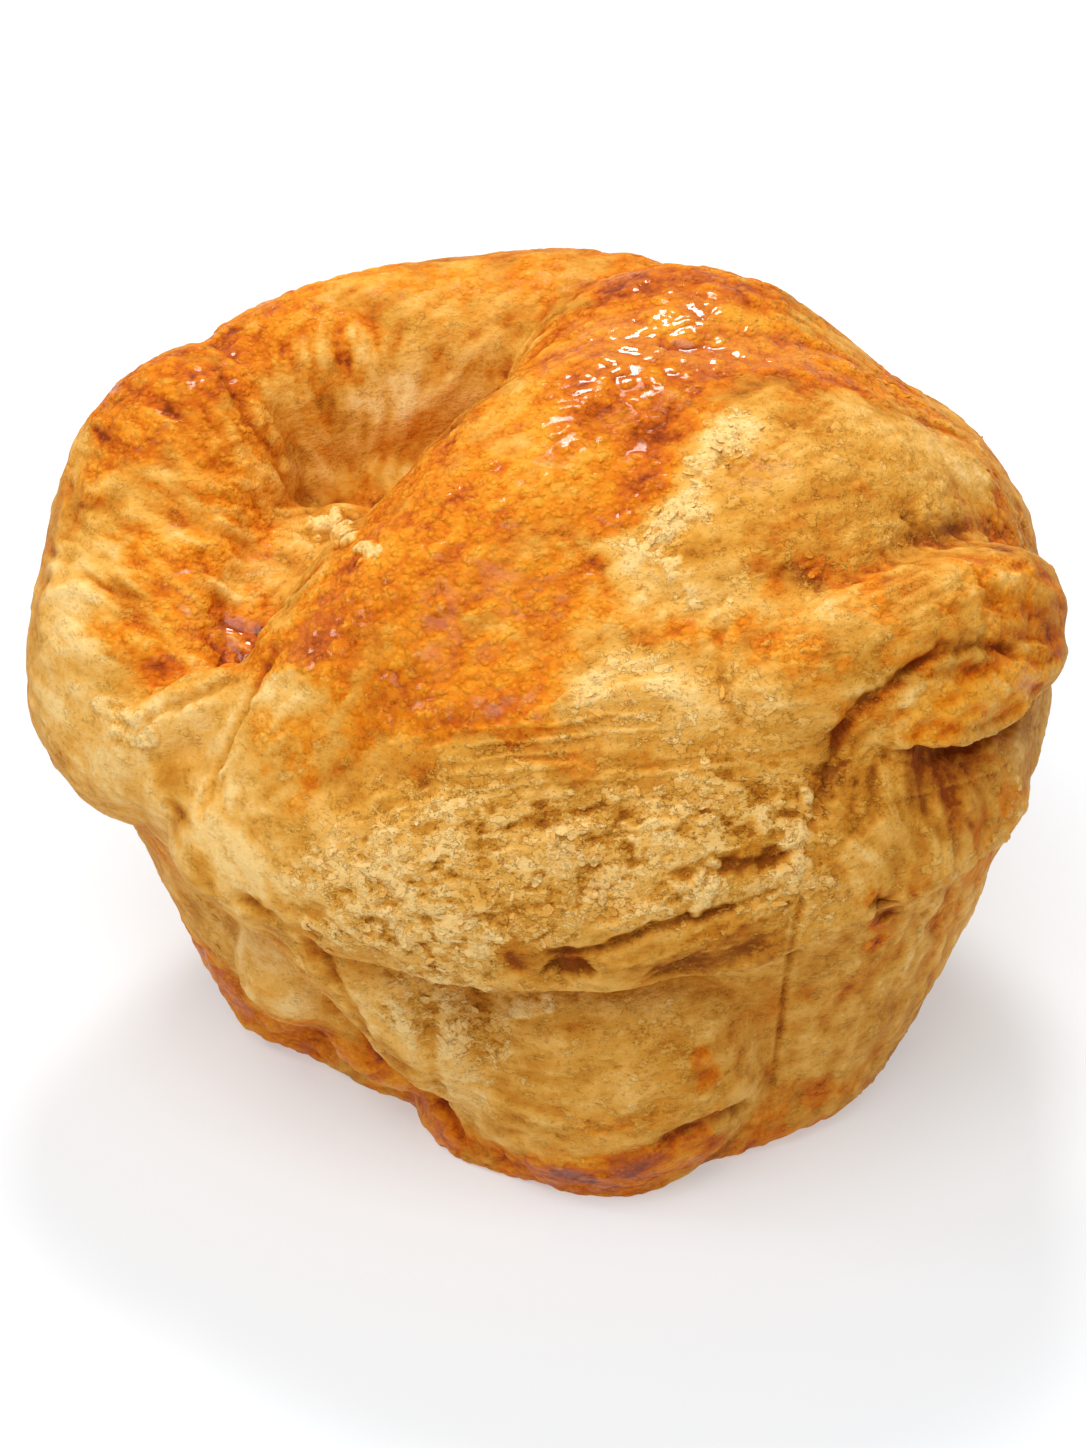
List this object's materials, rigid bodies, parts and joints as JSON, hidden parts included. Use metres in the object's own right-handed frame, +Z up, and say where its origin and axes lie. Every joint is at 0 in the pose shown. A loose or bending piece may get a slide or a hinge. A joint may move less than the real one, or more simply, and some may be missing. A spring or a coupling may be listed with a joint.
{
  "type": "chicken pie",
  "caption": "Round individual pie of browned puff pastry with a flared base and a lid folded over in thick rolls round a shallow hollow.",
  "frame": {"origin": "middle of the flat bottom that the pie rests on", "axes": "+Z up, out of the top; +X towards the small scroll of pastry at the right, the longest side; +Y away from the broad front flap"},
  "size_m": [0.0879, 0.0786, 0.0591],
  "materials": {
    "pastry": "baked puff pastry, egg washed: glossy orange brown on top, matt pale gold where the layers open"
  },
  "bodies": {
    "root": {"pie": "pastry"}
  },
  "joints": []
}
